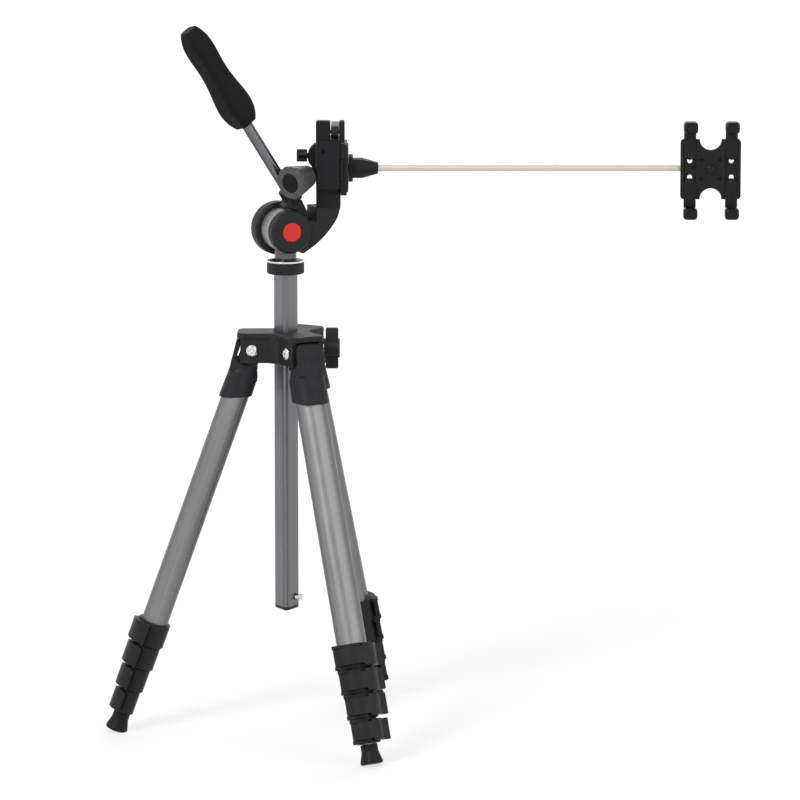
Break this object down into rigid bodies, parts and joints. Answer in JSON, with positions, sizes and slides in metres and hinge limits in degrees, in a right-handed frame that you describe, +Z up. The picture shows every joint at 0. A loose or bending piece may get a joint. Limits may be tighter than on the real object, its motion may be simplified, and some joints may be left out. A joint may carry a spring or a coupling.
{
  "type": "tripod with device holder arm",
  "caption": "Folding camera tripod with telescopic legs, sliding column and pan-tilt head, whose side arm carries a claw holder for a small device.",
  "frame": {"origin": "middle of the bottom of the part's box, on the floor", "axes": "+Z up, +X along the arm towards the holder, +Y away from the side that the holder faces"},
  "size_m": [0.5516, 0.278, 0.6223],
  "materials": {
    "leg_aluminium": "satin anodised grey, with matte black lock collars and rubber feet on the same pieces",
    "black_plastic": "fine moulded matte black",
    "bright_steel": "bright plated steel",
    "grey_casting": "satin grey casting",
    "red_badge": "plain glossy red disc",
    "grey_plastic": "satin dark grey plastic",
    "nickel_rod": "drawn nickel-plated steel",
    "dark_metal": "dark anodised rod",
    "black_metal": "black coated metal, glossy soft caps on the claw tips"
  },
  "bodies": {
    "crown": {"crown": "black_plastic", "leg_hinge_bolts": "bright_steel", "column_bush": "black_plastic"},
    "left_leg": {"left_leg_shoulder": "black_plastic", "left_leg_section_1": "leg_aluminium"},
    "left_leg_extension_2": {"left_leg_section_2": "leg_aluminium"},
    "left_leg_extension_3": {"left_leg_section_3": "leg_aluminium"},
    "left_leg_extension_4": {"left_leg_section_4": "leg_aluminium"},
    "left_leg_extension_5": {"left_leg_section_5": "leg_aluminium"},
    "left_leg_lock_1": {"left_leg_lever_1": "black_plastic"},
    "left_leg_lock_2": {"left_leg_lever_2": "black_plastic"},
    "left_leg_lock_3": {"left_leg_lever_3": "black_plastic"},
    "left_leg_lock_4": {"left_leg_lever_4": "black_plastic"},
    "front_leg": {"front_leg_shoulder": "black_plastic", "front_leg_section_1": "leg_aluminium"},
    "front_leg_extension_2": {"front_leg_section_2": "leg_aluminium"},
    "front_leg_extension_3": {"front_leg_section_3": "leg_aluminium"},
    "front_leg_extension_4": {"front_leg_section_4": "leg_aluminium"},
    "front_leg_extension_5": {"front_leg_section_5": "leg_aluminium"},
    "front_leg_lock_1": {"front_leg_lever_1": "black_plastic"},
    "front_leg_lock_2": {"front_leg_lever_2": "black_plastic"},
    "front_leg_lock_3": {"front_leg_lever_3": "black_plastic"},
    "front_leg_lock_4": {"front_leg_lever_4": "black_plastic"},
    "rear_leg": {"rear_leg_shoulder": "black_plastic", "rear_leg_section_1": "leg_aluminium"},
    "rear_leg_extension_2": {"rear_leg_section_2": "leg_aluminium"},
    "rear_leg_extension_3": {"rear_leg_section_3": "leg_aluminium"},
    "rear_leg_extension_4": {"rear_leg_section_4": "leg_aluminium"},
    "rear_leg_extension_5": {"rear_leg_section_5": "leg_aluminium"},
    "rear_leg_lock_1": {"rear_leg_lever_1": "black_plastic"},
    "rear_leg_lock_2": {"rear_leg_lever_2": "black_plastic"},
    "rear_leg_lock_3": {"rear_leg_lever_3": "black_plastic"},
    "rear_leg_lock_4": {"rear_leg_lever_4": "black_plastic"},
    "lock_knob": {"column_lock_knob": "black_plastic", "column_lock_screw": "bright_steel"},
    "column": {"center_column": "leg_aluminium", "column_top_ring": "black_plastic", "column_bottom_cap": "black_plastic", "column_stop_pin": "bright_steel"},
    "pan_head": {"head_neck": "bright_steel", "tilt_barrel": "grey_casting"},
    "tilt_head": {"tilt_yoke": "black_plastic", "tilt_axle": "bright_steel", "hub_badge": "red_badge"},
    "handle": {"handle_rod": "dark_metal", "handle_grip": "black_plastic"},
    "platform": {"platform": "black_plastic"},
    "flip_knob": {"flip_lock_knob": "grey_plastic", "flip_knob_cap": "black_plastic"},
    "star_screw": {"clamp_star_screw": "black_plastic"},
    "qr_lever": {"qr_lever": "black_plastic"},
    "qr_plate": {"qr_plate": "black_metal"},
    "ferrule": {"arm_ferrule": "black_metal"},
    "arm": {"arm_rod": "nickel_rod", "rod_end_block": "black_metal"},
    "holder": {"holder_plate": "black_metal"},
    "claw_upper_left": {"claw_upper_left": "black_metal"},
    "claw_upper_right": {"claw_upper_right": "black_metal"},
    "claw_lower_left": {"claw_lower_left": "black_metal"},
    "claw_lower_right": {"claw_lower_right": "black_metal"}
  },
  "joints": [
    {"name": "left_leg_fold", "type": "hinge", "parent": "crown", "child": "left_leg", "pos_m": [-0.14587, 0, 0.34], "axis": [0, 1, 0], "range_deg": [-19.7, 0]},
    {"name": "left_leg_extend_2", "type": "slide", "parent": "left_leg", "child": "left_leg_extension_2", "axis": [-0.3371, 0, -0.9415], "range_m": [0, 0.2]},
    {"name": "left_leg_extend_3", "type": "slide", "parent": "left_leg_extension_2", "child": "left_leg_extension_3", "axis": [-0.3371, 0, -0.9415], "range_m": [0, 0.2]},
    {"name": "left_leg_extend_4", "type": "slide", "parent": "left_leg_extension_3", "child": "left_leg_extension_4", "axis": [-0.3371, 0, -0.9415], "range_m": [0, 0.2]},
    {"name": "left_leg_extend_5", "type": "slide", "parent": "left_leg_extension_4", "child": "left_leg_extension_5", "axis": [-0.3371, 0, -0.9415], "range_m": [0, 0.2]},
    {"name": "left_leg_flip_lock_1", "type": "hinge", "parent": "left_leg", "child": "left_leg_lock_1", "pos_m": [-0.23954, 0.01885, 0.09027], "axis": [-0.3371, 0, -0.9415], "range_deg": [0, 110]},
    {"name": "left_leg_flip_lock_2", "type": "hinge", "parent": "left_leg_extension_2", "child": "left_leg_lock_2", "pos_m": [-0.24679, 0.01715, 0.07003], "axis": [-0.3371, 0, -0.9415], "range_deg": [0, 110]},
    {"name": "left_leg_flip_lock_3", "type": "hinge", "parent": "left_leg_extension_3", "child": "left_leg_lock_3", "pos_m": [-0.25403, 0.01545, 0.04979], "axis": [-0.3371, 0, -0.9415], "range_deg": [0, 110]},
    {"name": "left_leg_flip_lock_4", "type": "hinge", "parent": "left_leg_extension_4", "child": "left_leg_lock_4", "pos_m": [-0.26128, 0.01375, 0.02954], "axis": [-0.3371, 0, -0.9415], "range_deg": [0, 110]},
    {"name": "front_leg_fold", "type": "hinge", "parent": "crown", "child": "front_leg", "pos_m": [-0.10237, -0.02511, 0.34], "axis": [-0.866, -0.5, 0], "range_deg": [-19.7, 0]},
    {"name": "front_leg_extend_2", "type": "slide", "parent": "front_leg", "child": "front_leg_extension_2", "axis": [0.1685, -0.2919, -0.9415], "range_m": [0, 0.2]},
    {"name": "front_leg_extend_3", "type": "slide", "parent": "front_leg_extension_2", "child": "front_leg_extension_3", "axis": [0.1685, -0.2919, -0.9415], "range_m": [0, 0.2]},
    {"name": "front_leg_extend_4", "type": "slide", "parent": "front_leg_extension_3", "child": "front_leg_extension_4", "axis": [0.1685, -0.2919, -0.9415], "range_m": [0, 0.2]},
    {"name": "front_leg_extend_5", "type": "slide", "parent": "front_leg_extension_4", "child": "front_leg_extension_5", "axis": [0.1685, -0.2919, -0.9415], "range_m": [0, 0.2]},
    {"name": "front_leg_flip_lock_1", "type": "hinge", "parent": "front_leg", "child": "front_leg_lock_1", "pos_m": [-0.07186, -0.11566, 0.09027], "axis": [0.1685, -0.2919, -0.9415], "range_deg": [0, 110]},
    {"name": "front_leg_flip_lock_2", "type": "hinge", "parent": "front_leg_extension_2", "child": "front_leg_lock_2", "pos_m": [-0.06677, -0.12108, 0.07003], "axis": [0.1685, -0.2919, -0.9415], "range_deg": [0, 110]},
    {"name": "front_leg_flip_lock_3", "type": "hinge", "parent": "front_leg_extension_3", "child": "front_leg_lock_3", "pos_m": [-0.06167, -0.12651, 0.04979], "axis": [0.1685, -0.2919, -0.9415], "range_deg": [0, 110]},
    {"name": "front_leg_flip_lock_4", "type": "hinge", "parent": "front_leg_extension_4", "child": "front_leg_lock_4", "pos_m": [-0.05658, -0.13194, 0.02954], "axis": [0.1685, -0.2919, -0.9415], "range_deg": [0, 110]},
    {"name": "rear_leg_fold", "type": "hinge", "parent": "crown", "child": "rear_leg", "pos_m": [-0.10237, 0.02511, 0.34], "axis": [0.866, -0.5, 0], "range_deg": [-19.7, 0]},
    {"name": "rear_leg_extend_2", "type": "slide", "parent": "rear_leg", "child": "rear_leg_extension_2", "axis": [0.1685, 0.2919, -0.9415], "range_m": [0, 0.2]},
    {"name": "rear_leg_extend_3", "type": "slide", "parent": "rear_leg_extension_2", "child": "rear_leg_extension_3", "axis": [0.1685, 0.2919, -0.9415], "range_m": [0, 0.2]},
    {"name": "rear_leg_extend_4", "type": "slide", "parent": "rear_leg_extension_3", "child": "rear_leg_extension_4", "axis": [0.1685, 0.2919, -0.9415], "range_m": [0, 0.2]},
    {"name": "rear_leg_extend_5", "type": "slide", "parent": "rear_leg_extension_4", "child": "rear_leg_extension_5", "axis": [0.1685, 0.2919, -0.9415], "range_m": [0, 0.2]},
    {"name": "rear_leg_flip_lock_1", "type": "hinge", "parent": "rear_leg", "child": "rear_leg_lock_1", "pos_m": [-0.03922, 0.09681, 0.09027], "axis": [0.1685, 0.2919, -0.9415], "range_deg": [0, 110]},
    {"name": "rear_leg_flip_lock_2", "type": "hinge", "parent": "rear_leg_extension_2", "child": "rear_leg_lock_2", "pos_m": [-0.03707, 0.10393, 0.07003], "axis": [0.1685, 0.2919, -0.9415], "range_deg": [0, 110]},
    {"name": "rear_leg_flip_lock_3", "type": "hinge", "parent": "rear_leg_extension_3", "child": "rear_leg_lock_3", "pos_m": [-0.03491, 0.11106, 0.04979], "axis": [0.1685, 0.2919, -0.9415], "range_deg": [0, 110]},
    {"name": "rear_leg_flip_lock_4", "type": "hinge", "parent": "rear_leg_extension_4", "child": "rear_leg_lock_4", "pos_m": [-0.03276, 0.11819, 0.02954], "axis": [0.1685, 0.2919, -0.9415], "range_deg": [0, 110]},
    {"name": "column_lock_turn", "type": "hinge", "parent": "crown", "child": "lock_knob", "pos_m": [-0.08367, 0, 0.34], "axis": [1, 0, 0], "continuous": true},
    {"name": "column_slide", "type": "slide", "parent": "crown", "child": "column", "axis": [0, 0, 1], "range_m": [-0.05, 0.205]},
    {"name": "pan_turn", "type": "hinge", "parent": "column", "child": "pan_head", "pos_m": [-0.11687, 0, 0.4182], "axis": [0, 0, 1], "continuous": true},
    {"name": "tilt", "type": "hinge", "parent": "pan_head", "child": "tilt_head", "pos_m": [-0.11687, 0, 0.443], "axis": [0.3746, -0.9272, 0], "range_deg": [0, 95]},
    {"name": "handle_twist", "type": "hinge", "parent": "tilt_head", "child": "handle", "pos_m": [-0.10854, 0.00768, 0.4656], "axis": [-0.4968, -0.2007, 0.8443], "continuous": true},
    {"name": "platform_flip", "type": "hinge", "parent": "tilt_head", "child": "platform", "pos_m": [-0.08387, 0.0144, 0.4627], "axis": [0, 0, 1], "range_deg": [0, 90]},
    {"name": "flip_knob_turn", "type": "hinge", "parent": "platform", "child": "flip_knob", "pos_m": [-0.09767, -0.0017, 0.49], "axis": [-0.6147, -0.7705, -0.1684], "continuous": true},
    {"name": "star_screw_turn", "type": "hinge", "parent": "platform", "child": "star_screw", "pos_m": [-0.10737, 0.022, 0.505], "axis": [1, 0, 0], "continuous": true},
    {"name": "qr_lever_swing", "type": "hinge", "parent": "platform", "child": "qr_lever", "pos_m": [-0.07737, 0.0014, 0.528], "axis": [1, 0, 0], "range_deg": [0, 80]},
    {"name": "qr_plate_slide", "type": "slide", "parent": "platform", "child": "qr_plate", "axis": [0, -1, 0], "range_m": [0, 0.045]},
    {"name": "ferrule_turn", "type": "hinge", "parent": "qr_plate", "child": "ferrule", "pos_m": [-0.06237, 0.0144, 0.4952], "axis": [1, 0, 0], "continuous": true},
    {"name": "arm_turn", "type": "hinge", "parent": "ferrule", "child": "arm", "pos_m": [-0.06237, 0.0144, 0.4952], "axis": [1, 0, 0], "continuous": true},
    {"name": "holder_swivel", "type": "hinge", "parent": "arm", "child": "holder", "pos_m": [0.24983, 0.00375, 0.4952], "axis": [0, -1, 0], "continuous": true},
    {"name": "claw_upper_left_slide", "type": "slide", "parent": "holder", "child": "claw_upper_left", "axis": [0, 0, 1], "range_m": [-0.0045, 0.005]},
    {"name": "claw_upper_right_slide", "type": "slide", "parent": "holder", "child": "claw_upper_right", "axis": [0, 0, 1], "range_m": [-0.0045, 0.005]},
    {"name": "claw_lower_left_slide", "type": "slide", "parent": "holder", "child": "claw_lower_left", "axis": [0, 0, -1], "range_m": [-0.0045, 0.005]},
    {"name": "claw_lower_right_slide", "type": "slide", "parent": "holder", "child": "claw_lower_right", "axis": [0, 0, -1], "range_m": [-0.0045, 0.005]}
  ]
}
